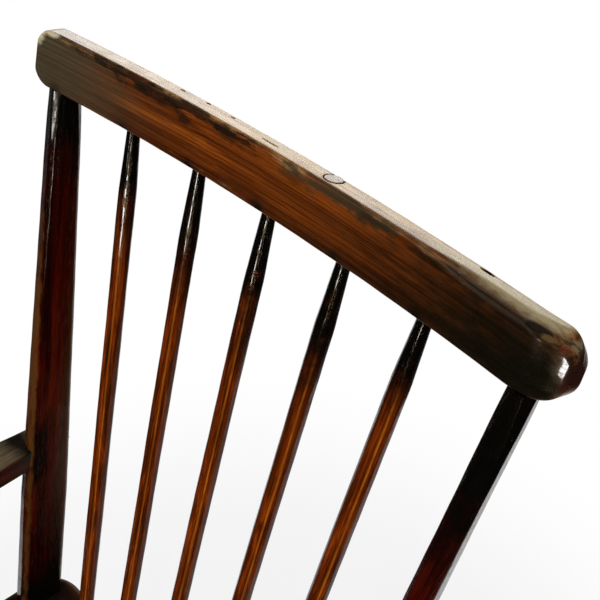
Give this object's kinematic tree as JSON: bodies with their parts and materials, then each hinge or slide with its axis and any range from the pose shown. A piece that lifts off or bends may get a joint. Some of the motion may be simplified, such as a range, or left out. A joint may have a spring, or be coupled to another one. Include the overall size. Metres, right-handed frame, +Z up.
{
  "type": "stick armchair",
  "caption": "Plank-seated wooden stick armchair with a thick bowed crest rail, leaning posts and sticks, splayed legs and flat arms held on short supports.",
  "frame": {"origin": "middle of the chair's footprint, on the floor", "axes": "+Z up; the front of the chair faces -Y; +X is to the right of someone who stands in front of it and looks at it"},
  "size_m": [0.638, 0.6436, 1.0377],
  "materials": {
    "dark_wood": "dark stained hardwood, worn and polished to a soft gloss",
    "rail_wood": "red-brown stained hardwood, worn paler along its edges, polished",
    "seat_wood": "near-black stained plank, polished by use",
    "peg_wood": "brown end grain, satin",
    "wedge_wood": "brown end grain, dull"
  },
  "bodies": {
    "root": {"seat": "seat_wood", "crest_rail": "rail_wood", "crest_plug": "peg_wood", "back_post_left": "dark_wood", "rail_peg_left": "peg_wood", "back_post_right": "dark_wood", "rail_peg_right": "peg_wood", "back_stick_1": "dark_wood", "back_stick_2": "dark_wood", "back_stick_3": "dark_wood", "back_stick_4": "dark_wood", "back_stick_5": "dark_wood", "arm_left": "dark_wood", "arm_peg_left": "peg_wood", "arm_stump_left": "dark_wood", "arm_wedge_left": "wedge_wood", "arm_stick_left_1": "dark_wood", "arm_stick_left_2": "dark_wood", "arm_right": "dark_wood", "arm_peg_right": "peg_wood", "arm_stump_right": "dark_wood", "arm_wedge_right": "wedge_wood", "arm_stick_right_1": "dark_wood", "arm_stick_right_2": "dark_wood", "leg_front_left": "dark_wood", "leg_wedge_front_left": "wedge_wood", "leg_front_right": "dark_wood", "leg_wedge_front_right": "wedge_wood", "leg_back_left": "dark_wood", "leg_wedge_back_left": "wedge_wood", "leg_back_right": "dark_wood", "leg_wedge_back_right": "wedge_wood"}
  },
  "joints": []
}
